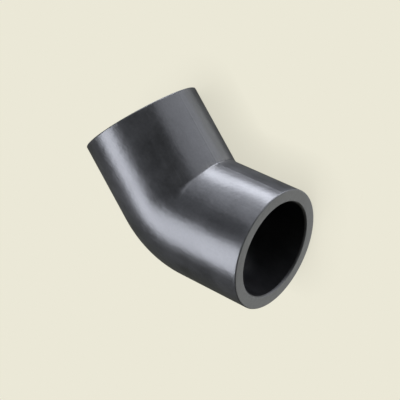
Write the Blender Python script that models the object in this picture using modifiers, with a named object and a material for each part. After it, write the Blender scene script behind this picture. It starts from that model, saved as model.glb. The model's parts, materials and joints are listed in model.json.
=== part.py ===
"""A 45 degree pipe elbow, nominal 1 inch, Schedule 80, with a solvent-weld socket at each end.

The fitting is one injection moulding, so it is one object. Outside, two straight hubs meet in a
short bend, smooth round the heel and creased at the throat. Inside, each end has a tapered
socket, a ledge that stops the pipe, and a straight bore, as a mould's two core pins leave them:
the bores meet in a mitre. It lies on its side, with both socket axes in one level plane. One half
is modelled, and a Mirror modifier makes the other.

Run it with: blender --background --python part.py
"""

import math

import bmesh
import bpy
from mathutils import Matrix, Vector

MM = 0.001
INCH = 0.0254

# Driving dimensions, from the socket tables for 1 inch Schedule 80 fittings.
BEND_ANGLE = math.radians(45)
SOCKET_DEPTH = 1.125 * INCH
SOCKET_MOUTH_DIAMETER = 1.325 * INCH
SOCKET_STOP_DIAMETER = 1.310 * INCH
CENTRE_TO_STOP = 0.3125 * INCH
WATERWAY_DIAMETER = 0.957 * INCH
SOCKET_WALL = 0.18 * INCH

# Edges.
MOUTH_ROUND = 0.4 * MM
MOUTH_CHAMFER = 0.6 * MM
STOP_FILLET = 0.5 * MM

# How finely the round surfaces are faceted.
SEGMENTS = 72
BEND_STEPS = 6
ROUND_STEPS = 3

# Worked out from the driving dimensions.
HALF_BEND = BEND_ANGLE / 2
BEND_RADIUS = CENTRE_TO_STOP / math.tan(HALF_BEND)
HUB_RADIUS = SOCKET_MOUTH_DIAMETER / 2 + SOCKET_WALL
WATERWAY_RADIUS = WATERWAY_DIAMETER / 2
WATERWAY_OVERRUN = (BEND_RADIUS + WATERWAY_RADIUS) * math.tan(HALF_BEND) + 1 * MM

WELD_DISTANCE = 0.01 * MM
SHARP_EDGE = math.radians(30)
CHARCOAL_GREY = (0.026, 0.027, 0.030, 1.0)
ROUGHNESS = 0.3


def clear_scene():
    for obj in list(bpy.data.objects):
        bpy.data.objects.remove(obj, do_unlink=True)


def quarter_round(centre, radius, start):
    """A quarter circle's points, anticlockwise from the angle start. As in the hub's profile,
    each is (distance from the socket axis, distance along it)."""
    angles = [start + math.pi / 2 * step / ROUND_STEPS for step in range(ROUND_STEPS + 1)]
    return [(centre[0] + radius * math.cos(a), centre[1] + radius * math.sin(a)) for a in angles]


def hub_profile():
    """The hub's wall cut lengthwise: up the outside, over the mouth, down the socket, in over
    the pipe stop, and down the waterway's bore to beyond the mitre plane.

    Each point is (distance from the socket axis, distance out from where the bend begins).
    """
    mouth_radius = SOCKET_MOUTH_DIAMETER / 2
    stop_radius = SOCKET_STOP_DIAMETER / 2
    rounded_rim = quarter_round(
        (HUB_RADIUS - MOUTH_ROUND, SOCKET_DEPTH - MOUTH_ROUND), MOUTH_ROUND, 0
    )
    stop_corner = quarter_round((stop_radius - STOP_FILLET, STOP_FILLET), STOP_FILLET, -math.pi / 2)
    return [
        (HUB_RADIUS, 0),
        *rounded_rim,
        (mouth_radius + MOUTH_CHAMFER, SOCKET_DEPTH),
        (mouth_radius, SOCKET_DEPTH - MOUTH_CHAMFER),
        *reversed(stop_corner),
        (WATERWAY_RADIUS, 0),
        (WATERWAY_RADIUS, -WATERWAY_OVERRUN),
    ]


def turn_hub(bm):
    """Turns the hub's wall about +Z. The outer wall's open end is at z = 0, where the bend
    begins, and the bore's is below it."""
    verts = [bm.verts.new((radius, 0, along)) for radius, along in hub_profile()]
    edges = [bm.edges.new(pair) for pair in zip(verts, verts[1:])]
    bmesh.ops.spin(
        bm, geom=verts + edges, axis=(0, 0, 1), cent=(0, 0, 0),
        angle=2 * math.pi, steps=SEGMENTS, use_merge=True,
    )
    bmesh.ops.remove_doubles(bm, verts=bm.verts, dist=WELD_DISTANCE)


def sweep_bend(bm, pivot):
    """Trims the throat and the bore at the mitre plane, and sweeps the rest of the outer wall's
    open end round to it.

    The bend turns about a line along Y, which passes inside the hub's outer wall. So the two
    halves meet in a crease at the throat, and in a smooth arc at the heel.
    """
    mitre_normal = Matrix.Rotation(HALF_BEND, 3, "Y") @ Vector((0, 0, -1))
    bmesh.ops.bisect_plane(
        bm, geom=bm.verts[:] + bm.edges[:] + bm.faces[:],
        plane_co=pivot, plane_no=mitre_normal, clear_outer=True,
    )
    swept = [
        edge for edge in bm.edges
        if edge.is_boundary and all(abs(vert.co.z) < WELD_DISTANCE for vert in edge.verts)
    ]
    swept_verts = list({vert for edge in swept for vert in edge.verts})
    bmesh.ops.spin(
        bm, geom=swept + swept_verts, axis=(0, 1, 0), cent=pivot,
        angle=HALF_BEND, steps=BEND_STEPS,
    )
    bmesh.ops.remove_doubles(bm, verts=bm.verts, dist=WELD_DISTANCE)


def lay_on_side(bm, pivot):
    """Turns the half so that the mitre plane is x = 0 and the throat faces +Y, and stands the
    whole fitting on z = 0, centred on the origin."""
    outwards = Vector((math.cos(HALF_BEND), math.sin(HALF_BEND), 0))
    heelwards = Vector((math.sin(HALF_BEND), -math.cos(HALF_BEND), 0))
    turn = Matrix((heelwards, outwards.cross(heelwards), outwards)).transposed().to_4x4()
    bmesh.ops.transform(bm, matrix=turn @ Matrix.Translation(-pivot), verts=bm.verts)
    depths = [vert.co.y for vert in bm.verts]
    middle = (min(depths) + max(depths)) / 2
    bmesh.ops.translate(bm, vec=(0, -middle, HUB_RADIUS), verts=bm.verts)


def half_elbow():
    pivot = Vector((-BEND_RADIUS, 0, 0))
    bm = bmesh.new()
    turn_hub(bm)
    sweep_bend(bm, pivot)
    lay_on_side(bm, pivot)
    bmesh.ops.recalc_face_normals(bm, faces=bm.faces)
    mesh = bpy.data.meshes.new("elbow_body")
    bm.to_mesh(mesh)
    bm.free()
    mesh.shade_smooth()
    mesh.set_sharp_from_angle(angle=SHARP_EDGE)
    return mesh


def pvc():
    material = bpy.data.materials.new("grey_pvc")
    material.use_nodes = True
    shader = material.node_tree.nodes["Principled BSDF"]
    shader.inputs["Base Color"].default_value = CHARCOAL_GREY
    shader.inputs["Roughness"].default_value = ROUGHNESS
    shader.inputs["Metallic"].default_value = 0
    return material


def elbow_body(collection):
    """The whole moulding: the half and its mirror image, welded at the mitre plane."""
    mesh = half_elbow()
    mesh.materials.append(pvc())
    body = bpy.data.objects.new("elbow_body", mesh)
    collection.objects.link(body)
    mirror = body.modifiers.new("other_half", "MIRROR")
    mirror.use_axis = (True, False, False)
    mirror.use_clip = True
    mirror.merge_threshold = WELD_DISTANCE
    return body


def main():
    clear_scene()
    collection = bpy.data.collections.new("pipe_elbow_45")
    bpy.context.scene.collection.children.link(collection)
    elbow_body(collection)


main()
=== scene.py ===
"""A moulded 45 degree pipe elbow in charcoal-grey PVC, under soft studio light.

The elbow is one piece. Its skin is a fine mesh of the same shape as the CAD solid, with the small
things that moulding leaves: rounded edges, a fillet in the crease at the throat and a parting line.
"""

import json
import math

import bmesh
import bpy
from mathutils import Matrix, Vector

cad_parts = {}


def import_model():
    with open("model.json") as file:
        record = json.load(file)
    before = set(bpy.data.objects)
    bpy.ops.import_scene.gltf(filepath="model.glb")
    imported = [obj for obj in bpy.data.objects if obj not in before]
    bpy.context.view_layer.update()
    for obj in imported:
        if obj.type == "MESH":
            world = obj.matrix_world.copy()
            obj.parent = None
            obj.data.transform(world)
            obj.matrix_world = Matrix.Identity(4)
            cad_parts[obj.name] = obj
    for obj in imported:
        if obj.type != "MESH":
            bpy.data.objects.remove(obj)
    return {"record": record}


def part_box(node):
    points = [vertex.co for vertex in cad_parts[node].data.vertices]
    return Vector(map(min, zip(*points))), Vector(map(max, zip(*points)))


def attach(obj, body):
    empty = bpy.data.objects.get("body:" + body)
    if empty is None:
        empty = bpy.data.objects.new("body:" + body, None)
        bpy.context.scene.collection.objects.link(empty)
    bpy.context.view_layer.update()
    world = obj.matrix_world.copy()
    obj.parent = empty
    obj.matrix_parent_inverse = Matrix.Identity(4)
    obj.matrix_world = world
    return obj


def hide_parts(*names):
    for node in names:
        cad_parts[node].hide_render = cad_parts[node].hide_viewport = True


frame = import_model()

MM = 0.001
UP = Vector((0, 0, 1))

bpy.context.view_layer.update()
NODE = "elbow_body"

# The frame: where the fitting's axes and faces are.
LOW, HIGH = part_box(NODE)
MOUNTS = {mount["name"]: mount for mount in frame["record"]["mounts"]}
RIM = Vector(MOUNTS["socket_b_face"]["pos_m"])
LEDGE = Vector(MOUNTS["socket_b_stop"]["pos_m"])
OUTWARDS = Vector(MOUNTS["socket_b_face"]["axis"]).normalized()
HEELWARDS = Vector((OUTWARDS.y, -OUTWARDS.x, 0))
HALF_BEND = math.atan2(OUTWARDS.y, OUTWARDS.x)
HUB_RADIUS = (HIGH.z - LOW.z) / 2
CENTRE_TO_MOUTH = RIM.x / OUTWARDS.x
CENTRE_TO_STOP = LEDGE.x / OUTWARDS.x
CENTRE = Vector((0, RIM.y - OUTWARDS.y * CENTRE_TO_MOUTH, LOW.z + HUB_RADIUS))
BEND_RADIUS = CENTRE_TO_STOP / math.tan(HALF_BEND)

# Inside, as in the CAD model.
SOCKET_MOUTH_RADIUS = 33.655 * MM / 2
SOCKET_STOP_RADIUS = 33.274 * MM / 2
WATERWAY_RADIUS = 24.308 * MM / 2
MOUTH_ROUND = 0.4 * MM
MOUTH_CHAMFER = 0.6 * MM
STOP_FILLET = 0.5 * MM

# Small things that moulding leaves.
CHAMFER_ROUND = 0.15 * MM
STOP_EDGE_ROUND = 0.25 * MM
THROAT_FILLET = 0.9 * MM
THROAT_BLEND = 2.0 * MM
MITRE_FILLET = 0.3 * MM
PARTING_HEIGHT = 0.035 * MM
PARTING_WIDTH = 0.28 * MM

# How far the bend's outer wall and its waterway run from the axes' crossing, to the hub's outline.
BORE_LEAD = 1 * MM
OUTER_START = HUB_RADIUS * math.tan(HALF_BEND) + 2 * THROAT_FILLET
BORE_START = CENTRE_TO_STOP - BORE_LEAD

# How fine the skin is. The extra columns are at so many parting widths from the parting line.
COLUMNS = 192
PARTING_COLUMNS = (0.7, 1.2, 1.8)
ROW_LENGTH = 1.2 * MM
EDGE_ROW = 0.15 * MM
ROUND_STEPS = 8
BEND_STEPS = 18
WELD_DISTANCE = 0.001 * MM

# The camera: where it stands from the fitting's centre, how it is rolled, and what it looks at.
# Angles here and for the lights are in degrees. An azimuth is turned from +X towards +Y.
AZIMUTH = 64.0
ELEVATION = 44.3
ROLL = -116.23
DISTANCE = 440 * MM
LENS = 114.6
AIM_RIGHT = 2.94 * MM
AIM_UP = 3.39 * MM
CLIP_RANGE = 100

# The material's colours.
DARK_GREY = (0.012, 0.0125, 0.014, 1)
LIGHT_GREY = (0.038, 0.0385, 0.041, 1)
SCUFFED_GREY = (0.060, 0.061, 0.063, 1)
DUST = (0.16, 0.15, 0.13, 1)
# The bore's colour is painted shade: it darkens the sockets and the waterway towards black.
BORE_PAINTED_SHADE = (0.002, 0.002, 0.002, 1)

# The sizes of its patterns. A length is how many times as long as wide a pattern is drawn out.
CLOUD_SIZE = 14 * MM
BLOTCH_SIZE = 5 * MM
SPECKLE_SIZE = 0.9 * MM
STREAK_WIDTH = 1.3 * MM
STREAK_LENGTH = 16
TURNED_LINE_WIDTH = 0.8 * MM
TURNED_LINE_LENGTH = 40
SCRATCH_WIDTH = 0.40 * MM
SCRATCH_PATCH_SIZE = 15 * MM
WEAR_PATCH_SIZE = 3 * MM
DUST_PATCH_SIZE = 2 * MM
WAVE_SIZE = 16 * MM
PEEL_SIZE = 2.2 * MM
GRAIN_SIZE = 0.8 * MM

# How far wear reaches from a rim's edges, and dust from the crease at the throat.
EDGE_WEAR = 0.45 * MM
THROAT_DUST = 1.6 * MM

# Two sets of scratches, each with its turn in radians and its length.
SCRATCH_SETS = (((0.5, 0.2, 0), 30), ((1.3, 0.4, 0.9), 22))

# The levels of noise between which a pattern goes from nothing to full.
EVEN = (0.35, 0.65)
WORN = (0.42, 0.60)
SCRATCHED = (0.64, 0.72)
IN_PATCHES = (0.52, 0.64)

# How much each pattern lightens the grey, covers it with a colour, dulls it and raises it, and
# how strong the turned lines are on the rim, next to those inside.
LIGHTENS = {"clouds": 0.4, "blotches": 0.25, "streaks": 0.15, "speckle": 0.2}
COVERS = {
    "scuffs": (0.3, SCUFFED_GREY),
    "wear": (0.6, SCUFFED_GREY),
    "dust": (0.25, DUST),
    # The inside's cover is painted shade, which darkens the sockets and the waterway towards black.
    "inside": (0.5, BORE_PAINTED_SHADE),
}
DULLS = {
    "clouds": 0.025, "blotches": 0.02, "streaks": 0.015, "scuffs": 0.06,
    "wear": 0.10, "dust": 0.15, "rim": 0.05, "inside": 0.05,
}
RAISES = {
    "waves": 0.28 * MM, "peel": 0.048 * MM, "grain": 0.009 * MM, "ridges": 0.009 * MM,
    "wear": -0.05 * MM, "turned_lines": 0.020 * MM,
}
RIM_LINES = 0.3

# The gloss. Smoother than this, the renderer's denoiser leaves dark patches on the fitting.
SMOOTHEST = 0.28
REFRACTION = 1.54
SPECULAR = 0.5
SPECULAR_INSIDE = 0.25

# The studio. The floor keeps the share SHADOW_GLOW of its glow where the fitting hides all that is
# within SHADOW_REACH. The flag's share is of the fitting's outline.
LIGHT_DISTANCE = 2.0
FLOOR_RADIUS = 3.0
FLOOR_SEGMENTS = 96
SHADOW_REACH = 14 * MM
SHADOW_GLOW = 0.77
SHADOW_SAMPLES = 16
FLAG_SHARE = 0.95
FLAG_OVERHANG = 20 * MM
FLAG_GAP = 0.3 * MM
COOL = (0.87, 0.90, 1.0)
NEUTRAL = (0.98, 1.0, 0.98)
WARM = (1.0, 1.0, 0.77, 1)
DIM = 0.11
PALE = (0.831, 0.807, 0.680, 1)


def near(distance, width):
    """1 at no distance, falling smoothly to nothing a few widths away."""
    return math.exp(-((distance / width) ** 2))


def smooth_max(a, b, width):
    """The larger of a and b, rounded off where they are less than width apart."""
    return max(a, b) + max(width - abs(a - b), 0) ** 2 / (4 * width)


def finished_mesh(bm, name):
    """The bmesh as a mesh. The bmesh is freed."""
    mesh = bpy.data.meshes.new(name)
    bm.to_mesh(mesh)
    bm.free()
    return mesh


def add_object(name, data):
    """A new object in the scene, of a mesh, camera or light."""
    made = bpy.data.objects.new(name, data)
    bpy.context.scene.collection.objects.link(made)
    return made


def rounded(corners):
    """The outline through corners, each (radius, along, fillet), with every corner rounded to
    its fillet and a short row next to each round, so that smooth shading keeps flats flat."""
    outline = []
    for index, (radius, along, fillet) in enumerate(corners):
        corner = Vector((radius, along))
        if not fillet:
            outline.append(corner)
            continue
        before = (Vector(corners[index - 1][:2]) - corner).normalized()
        after = (Vector(corners[index + 1][:2]) - corner).normalized()
        half_angle = before.angle(after) / 2
        reach = fillet / math.tan(half_angle)
        centre = corner + (before + after).normalized() * (fillet / math.sin(half_angle))
        start = corner + before * reach - centre
        turn = start.angle_signed(corner + after * reach - centre)
        outline.append(corner + before * (reach + EDGE_ROW))
        for step in range(ROUND_STEPS + 1):
            spin = Matrix.Rotation(-turn * step / ROUND_STEPS, 2)
            outline.append(centre + spin @ start)
        outline.append(corner + after * (reach + EDGE_ROW))
    return outline


def cut_long_rows(outline):
    """The outline with points added wherever two are further apart than ROW_LENGTH."""
    points = [outline[0]]
    for start, end in zip(outline, outline[1:]):
        cuts = math.ceil((end - start).length / ROW_LENGTH)
        points += [start.lerp(end, step / cuts) for step in range(1, cuts + 1)]
    return points


def hub_outline():
    """The hub's wall cut lengthwise, from just past the throat on the outside, over the mouth
    and down the socket, to just inside the waterway: points (distance from the socket axis,
    distance from the axes' crossing)."""
    corners = [
        (HUB_RADIUS, OUTER_START, 0),
        (HUB_RADIUS, CENTRE_TO_MOUTH, MOUTH_ROUND),
        (SOCKET_MOUTH_RADIUS + MOUTH_CHAMFER, CENTRE_TO_MOUTH, CHAMFER_ROUND),
        (SOCKET_MOUTH_RADIUS, CENTRE_TO_MOUTH - MOUTH_CHAMFER, CHAMFER_ROUND),
        (SOCKET_STOP_RADIUS, CENTRE_TO_STOP, STOP_FILLET),
        (WATERWAY_RADIUS, CENTRE_TO_STOP, STOP_EDGE_ROUND),
        (WATERWAY_RADIUS, BORE_START, 0),
    ]
    return cut_long_rows(rounded(corners))


def bend_column(radius, angle, fillet, far_end):
    """One lengthwise line of a wall in the bend, from the mitre plane out to the distance
    far_end from the axes' crossing. The wall follows the hub's line, and turns the corner at
    the mitre plane round an arc of the radius fillet, in the plane of the bend."""
    heelwards = radius * math.cos(angle)
    height = Vector((0, 0, radius * math.sin(angle)))
    corner_along = -heelwards * math.tan(HALF_BEND)
    corner = CENTRE + HEELWARDS * heelwards + OUTWARDS * corner_along
    pivot = corner + Vector((0, fillet / math.cos(HALF_BEND), 0))
    arc = []
    for step in range(BEND_STEPS + 1):
        turn = HALF_BEND * step / BEND_STEPS
        arc.append(pivot + Vector((math.sin(turn), -math.cos(turn), 0)) * fillet + height)
    arc[0].x = 0  # exactly on the mitre plane, where the halves are welded
    tangent = arc[-1]
    end = CENTRE + HEELWARDS * heelwards + OUTWARDS * far_end + height
    rows = math.ceil((far_end + BEND_RADIUS) / (2 * ROW_LENGTH))
    straight = [tangent.lerp(end, row / rows) for row in range(1, rows)]
    return arc + straight


def parting_bead(angle):
    """How far the wall stands proud at the angle, by the two lines where the mould's halves
    met, at the heel and at the throat."""
    return PARTING_HEIGHT * near(math.remainder(angle, math.pi) * HUB_RADIUS, PARTING_WIDTH)


def column_angles():
    """The angles round the socket axis, from the heel, with more of them at the parting line."""
    even = [math.tau * column / COLUMNS for column in range(COLUMNS)]
    widths = [side * column for column in PARTING_COLUMNS for side in (-1, 1)]
    close = [width * PARTING_WIDTH / HUB_RADIUS for width in widths]
    extra = [(line + offset) % math.tau for line in (0, math.pi) for offset in close]
    return sorted(even + extra)


def skin_column(angle, outline):
    """One lengthwise line of the whole skin, from the mitre plane along the outside, over the
    rim and back along the inside. The parting bead fades out over the rim's round."""
    bead = parting_bead(angle)
    hub_radius = HUB_RADIUS + bead
    turn_radius = smooth_max(
        BEND_RADIUS + hub_radius * math.cos(angle), THROAT_FILLET, THROAT_BLEND
    )
    outside = bend_column(hub_radius, angle, turn_radius, OUTER_START)
    inside = bend_column(WATERWAY_RADIUS, angle, MITRE_FILLET, BORE_START)
    sideways = HEELWARDS * math.cos(angle) + UP * math.sin(angle)
    hub = []
    for radius, along in outline:
        bead_left = max(0, min(1, (radius - HUB_RADIUS + MOUTH_ROUND) / MOUTH_ROUND))
        hub.append(CENTRE + OUTWARDS * along + sideways * (radius + bead * bead_left))
    return outside + hub + inside[::-1]


def elbow_mesh():
    """Half the skin as a grid of columns, and its mirror image."""
    outline = hub_outline()
    bm = bmesh.new()
    grid = []
    for angle in column_angles():
        grid.append([bm.verts.new(point) for point in skin_column(angle, outline)])
    for column, beside in zip(grid, grid[1:] + grid[:1]):
        for row in range(len(column) - 1):
            bm.faces.new((column[row], beside[row], beside[row + 1], column[row + 1]))
    half = bm.verts[:] + bm.edges[:] + bm.faces[:]
    bmesh.ops.mirror(bm, geom=half, axis="X", merge_dist=WELD_DISTANCE)
    bmesh.ops.remove_doubles(bm, verts=bm.verts, dist=WELD_DISTANCE)
    bmesh.ops.recalc_face_normals(bm, faces=bm.faces)
    mesh = finished_mesh(bm, "elbow")
    mesh.shade_smooth()
    mark_places(mesh)
    return mesh


def from_centre(point):
    """The point's place from the axes' crossing, mirrored to the +X side."""
    return Vector((abs(point.x), point.y, point.z)) - CENTRE


def hub_place(point):
    """The point in its own hub's directions: across the hub, up, and along it from the mitre."""
    place = from_centre(point)
    return (place.dot(HEELWARDS), place.z, point.x / OUTWARDS.x)


def marks_at(point):
    """What the material reads at a point of the skin: how much it belongs to the rim, the worn
    edges, the inside and the crease at the throat."""
    place = from_centre(point)
    across = place.dot(HEELWARDS)
    radius = math.hypot(across, place.z)
    from_rim = CENTRE_TO_MOUTH - place.dot(OUTWARDS)
    to_outer_edge = math.hypot(radius - HUB_RADIUS, from_rim)
    to_mouth_edge = math.hypot(radius - SOCKET_MOUTH_RADIUS - MOUTH_CHAMFER, from_rim)
    to_crease = math.hypot(point.x / OUTWARDS.x, HUB_RADIUS + across)
    return {
        "rim": near(from_rim, MOUTH_ROUND),
        "worn_edge": near(min(to_outer_edge, to_mouth_edge), EDGE_WEAR),
        "inside": float(radius < SOCKET_MOUTH_RADIUS + MOUTH_CHAMFER / 2),
        "throat": near(to_crease, THROAT_DUST),
    }


def mark_places(mesh):
    """Stores on the vertices what the material reads."""
    points = [vert.co for vert in mesh.vertices]
    places = [number for point in points for number in hub_place(point)]
    marks = [marks_at(point) for point in points]
    mesh.attributes.new("hub_place", "FLOAT_VECTOR", "POINT").data.foreach_set("vector", places)
    for name in marks[0]:
        layer = mesh.attributes.new(name, "FLOAT", "POINT")
        layer.data.foreach_set("value", [mark[name] for mark in marks])


def add_node(tree, kind, settings=None, **inputs):
    """A new shader node, its inputs set to values or linked to other nodes' outputs. An input's
    name is written with _ for a space, or as input_0, input_1 by its number."""
    made = tree.nodes.new("ShaderNode" + kind)
    for name, value in (settings or {}).items():
        setattr(made, name, value)
    for name, value in inputs.items():
        number = name.removeprefix("input_")
        key = int(number) if number.isdigit() else name.replace("_", " ")
        if isinstance(value, bpy.types.NodeSocket):
            tree.links.new(value, made.inputs[key])
        else:
            made.inputs[key].default_value = value
    return made


def noise(tree, place, size, detail, turn=(0, 0, 0), stretch=(1, 1, 1)):
    """Noise from about 0.3 to 0.7 with features of the size in metres, turned and then drawn
    out by the stretch."""
    laid = add_node(
        tree, "Mapping", Vector=place, Rotation=turn,
        Scale=tuple(1 / (size * factor) for factor in stretch),
    )
    return add_node(tree, "TexNoise", Vector=laid.outputs[0], Scale=1, Detail=detail).outputs["Fac"]


def remap(tree, value, start, end, low=0.0, high=1.0):
    """The value's range from start to end, clamped and stretched to run from low to high."""
    made = add_node(
        tree, "MapRange", Value=value, From_Min=start, From_Max=end, To_Min=low, To_Max=high
    )
    return made.outputs["Result"]


def maths(tree, operation, *values):
    """The result of a Math node."""
    inputs = {f"input_{number}": value for number, value in enumerate(values)}
    return add_node(tree, "Math", {"operation": operation}, **inputs).outputs[0]


def weighted(tree, patterns, weights, start=0.0):
    """The start plus each of the patterns that has a weight, times its weight."""
    added = start
    for name, weight in weights.items():
        added = maths(tree, "MULTIPLY_ADD", patterns[name], weight, added)
    return added


def tinted(tree, factor, under, over):
    """One colour mixed over another."""
    made = add_node(tree, "Mix", {"data_type": "RGBA"}, input_0=factor, input_6=under, input_7=over)
    return made.outputs[2]


def new_material(name):
    """A material for nodes, and its node tree."""
    material = bpy.data.materials.new(name)
    material.use_nodes = True
    return material, material.node_tree


def attribute(tree, name, output="Fac"):
    """What mark_places stored under the name."""
    return add_node(tree, "Attribute", {"attribute_name": name}).outputs[output]


def scratches(tree, place, turn, length):
    """Sparse fine scratches, in patches, drawn out along one direction."""
    lines = noise(tree, place, SCRATCH_WIDTH, detail=1, turn=turn, stretch=(1, 1, length))
    patches = noise(tree, place, SCRATCH_PATCH_SIZE, detail=1, turn=turn)
    return maths(tree, "MULTIPLY", remap(tree, lines, *SCRATCHED), remap(tree, patches, *IN_PATCHES))


def patchy(tree, place, mark, size, levels):
    """One of the skin's marks, broken up into patches."""
    patches = remap(tree, noise(tree, place, size, detail=3), *levels)
    return maths(tree, "MULTIPLY", attribute(tree, mark), patches)


def pvc_patterns(tree):
    """The material's patterns by name, each the strength that it has at a place. The streaks,
    scratches and turned lines follow the hubs, and the rest doesn't."""
    place = add_node(tree, "TexCoord").outputs["Object"]
    along_hub = attribute(tree, "hub_place", "Vector")
    rim = attribute(tree, "rim")
    inside = attribute(tree, "inside")
    ridges = noise(tree, along_hub, STREAK_WIDTH, detail=2, stretch=(1, 1, STREAK_LENGTH))
    round_hub = (TURNED_LINE_LENGTH, TURNED_LINE_LENGTH, 1)
    lines = noise(tree, along_hub, TURNED_LINE_WIDTH, detail=1, stretch=round_hub)
    lined = maths(tree, "MULTIPLY_ADD", rim, RIM_LINES, inside)
    return {
        "rim": rim,
        "inside": inside,
        "clouds": remap(tree, noise(tree, place, CLOUD_SIZE, detail=3), *EVEN),
        "blotches": remap(tree, noise(tree, place, BLOTCH_SIZE, detail=2), *EVEN),
        "speckle": remap(tree, noise(tree, place, SPECKLE_SIZE, detail=1), *EVEN),
        "streaks": remap(tree, ridges, *EVEN),
        "ridges": ridges,
        "turned_lines": maths(tree, "MULTIPLY", lines, lined),
        "scuffs": maths(tree, "MAXIMUM", *(scratches(tree, along_hub, *each) for each in SCRATCH_SETS)),
        "wear": patchy(tree, place, "worn_edge", WEAR_PATCH_SIZE, WORN),
        "dust": patchy(tree, place, "throat", DUST_PATCH_SIZE, EVEN),
        "waves": noise(tree, place, WAVE_SIZE, detail=0),
        "peel": noise(tree, place, PEEL_SIZE, detail=1),
        "grain": noise(tree, place, GRAIN_SIZE, detail=1),
    }


def pvc():
    """Charcoal PVC as moulded: clouded by the melt's flow, faintly streaked along the hubs, with
    an orange-peel skin, scratches from handling, worn edges and a little dust in the throat. Inside
    the sockets and the waterway it is darkened towards black by painted shade."""
    material, tree = new_material("charcoal_pvc")
    shader = tree.nodes["Principled BSDF"]
    patterns = pvc_patterns(tree)

    colour = tinted(tree, weighted(tree, patterns, LIGHTENS), DARK_GREY, LIGHT_GREY)
    # The inside's cover among these is painted shade that darkens the sockets and the waterway.
    for name, (share, cover) in COVERS.items():
        colour = tinted(tree, maths(tree, "MULTIPLY", patterns[name], share), colour, cover)
    roughness = weighted(tree, patterns, DULLS, SMOOTHEST)
    specular = remap(tree, patterns["inside"], 0, 1, SPECULAR, SPECULAR_INSIDE)
    bump = add_node(tree, "Bump", Height=weighted(tree, patterns, RAISES), Distance=1)

    tree.links.new(colour, shader.inputs["Base Color"])
    tree.links.new(roughness, shader.inputs["Roughness"])
    tree.links.new(specular, shader.inputs["Specular IOR Level"])
    tree.links.new(bump.outputs[0], shader.inputs["Normal"])
    shader.inputs["IOR"].default_value = REFRACTION
    return material


def elbow():
    """The fitting's visible piece, in place of its CAD solid."""
    mesh = elbow_mesh()
    mesh.materials.append(pvc())
    piece = add_object("elbow", mesh)
    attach(piece, "root")
    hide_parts(NODE)


def direction(azimuth, elevation):
    """The unit vector that is turned by the azimuth and raised by the elevation."""
    azimuth, elevation = math.radians(azimuth), math.radians(elevation)
    level = Vector((math.cos(azimuth), math.sin(azimuth), 0))
    return level * math.cos(elevation) + UP * math.sin(elevation)


def rolled(backwards, roll):
    """The directions rightwards and upwards of something with its back to backwards, which
    stands level and is then rolled."""
    level = UP.cross(backwards).normalized()
    turn = Matrix.Rotation(math.radians(roll), 3, backwards)
    return turn @ level, turn @ backwards.cross(level)


def stand(obj, place, rightwards, upwards, backwards):
    """Places a camera or light, with its own axes in the three directions."""
    turn = Matrix((rightwards, upwards, backwards)).transposed().to_4x4()
    obj.matrix_world = Matrix.Translation(place) @ turn


def camera():
    """A camera above the elbow, on the side of the throat and of the mouth at +X, rolled over."""
    back = direction(AZIMUTH, ELEVATION)
    rightwards, upwards = rolled(back, ROLL)
    place = CENTRE + back * DISTANCE
    target = CENTRE + rightwards * AIM_RIGHT + upwards * AIM_UP
    back = (place - target).normalized()
    rightwards = upwards.cross(back).normalized()
    data = bpy.data.cameras.new("camera")
    data.lens = LENS
    data.clip_start = DISTANCE / CLIP_RANGE
    data.clip_end = DISTANCE * CLIP_RANGE
    cam = add_object("camera", data)
    stand(cam, place, rightwards, back.cross(rightwards), back)
    bpy.context.scene.camera = cam


def soft_box(name, azimuth, elevation, roll, size, radiance, tint=COOL):
    """A rectangular area light that faces the fitting from LIGHT_DISTANCE away, whose size is
    given for a distance of 1."""
    towards = direction(azimuth, elevation)
    data = bpy.data.lights.new(name, "AREA")
    data.shape = "RECTANGLE"
    data.size, data.size_y = (side * LIGHT_DISTANCE for side in size)
    data.energy = radiance * math.pi * data.size * data.size_y
    data.color = tint
    lamp = add_object(name, data)
    stand(lamp, CENTRE + towards * LIGHT_DISTANCE, *rolled(towards, roll), towards)


def lights():
    """Soft boxes whose reflections give the fitting's highlights."""
    soft_box("key", azimuth=-131.3, elevation=59.0, roll=-17.0, size=(0.78, 0.46), radiance=12.6)
    soft_box("throat_side", azimuth=140.2, elevation=-27.1, roll=-46.3, size=(0.29, 1.12), radiance=17.3)
    soft_box("low_side", azimuth=73.4, elevation=-23.5, roll=-25.8, size=(0.95, 1.37), radiance=2.54)
    soft_box("back_top", azimuth=125.1, elevation=10.5, roll=-74.5, size=(0.81, 0.88), radiance=3.0)
    soft_box(
        "mouth", azimuth=1.7, elevation=-50.7, roll=-9.3, size=(1.58, 1.80), radiance=1.28, tint=NEUTRAL,
    )


def emit(tree, **inputs):
    """Makes a material's surface emit light and do nothing else."""
    glow = add_node(tree, "Emission", **inputs)
    tree.links.new(glow.outputs[0], tree.nodes["Material Output"].inputs["Surface"])


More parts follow.
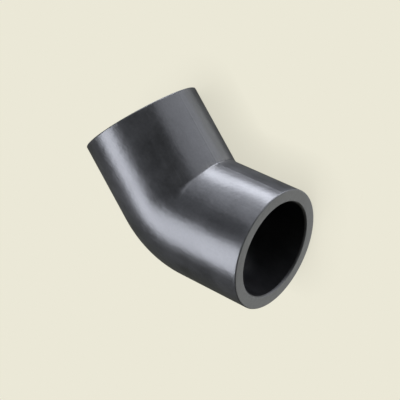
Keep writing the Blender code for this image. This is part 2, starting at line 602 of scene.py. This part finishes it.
def floor():
    """A pale floor that glows evenly, and a little less close to the fitting, which is a painted shadow.
    It casts no shadow and isn't reflected, so light from the low lamps passes it."""
    bm = bmesh.new()
    bmesh.ops.create_circle(bm, cap_ends=True, radius=FLOOR_RADIUS, segments=FLOOR_SEGMENTS)
    ground = add_object("floor", finished_mesh(bm, "floor"))
    ground.location.z = LOW.z
    material, tree = new_material("floor")
    openness = add_node(
        tree, "AmbientOcclusion", {"samples": SHADOW_SAMPLES}, Distance=SHADOW_REACH
    )
    # Painted shadow: the floor's glow is lowered where the fitting is close.
    emit(tree, Color=PALE, Strength=remap(tree, openness.outputs["AO"], 0, 1, SHADOW_GLOW, 1))
    ground.data.materials.append(material)
    ground.visible_shadow = False
    ground.visible_glossy = False
    ground.visible_diffuse = False


def flag():
    """A card under the fitting that the camera doesn't see: the fitting's outline, a little
    smaller, and longer past the mouth at -X. It keeps the low lamps off the underside, and glows
    as dimly as the surroundings do."""
    half_width = HUB_RADIUS * FLAG_SHARE
    across = HEELWARDS * half_width
    mitre = OUTWARDS * (half_width * math.tan(HALF_BEND))
    end_b = CENTRE + OUTWARDS * (CENTRE_TO_MOUTH * FLAG_SHARE)
    end_a = CENTRE + OUTWARDS * (CENTRE_TO_MOUTH + FLAG_OVERHANG)
    outline = [CENTRE + across - mitre, end_b + across, end_b - across, CENTRE - across + mitre]
    outline += [Vector((-point.x, point.y, 0)) for point in (end_a - across, end_a + across)]
    bm = bmesh.new()
    bm.faces.new([bm.verts.new((point.x, point.y, LOW.z - FLAG_GAP)) for point in outline])
    card = add_object("flag", finished_mesh(bm, "flag"))
    material, tree = new_material("flag")
    emit(tree, Color=WARM, Strength=DIM)
    card.data.materials.append(material)
    card.visible_camera = False


def world():
    """Pale where the camera sees it, as the floor is, and dim where it lights the fitting."""
    surroundings = bpy.data.worlds.new("surroundings")
    surroundings.use_nodes = True
    tree = surroundings.node_tree
    dim = add_node(tree, "Background", Color=WARM, Strength=DIM)
    pale = add_node(tree, "Background", Color=PALE)
    seen = add_node(tree, "LightPath").outputs["Is Camera Ray"]
    mix = add_node(tree, "MixShader", Fac=seen, input_1=dim.outputs[0], input_2=pale.outputs[0])
    tree.links.new(mix.outputs[0], tree.nodes["World Output"].inputs["Surface"])
    bpy.context.scene.world = surroundings


elbow()
camera()
lights()
floor()
flag()
world()
bpy.context.scene.view_settings.view_transform = "Standard"
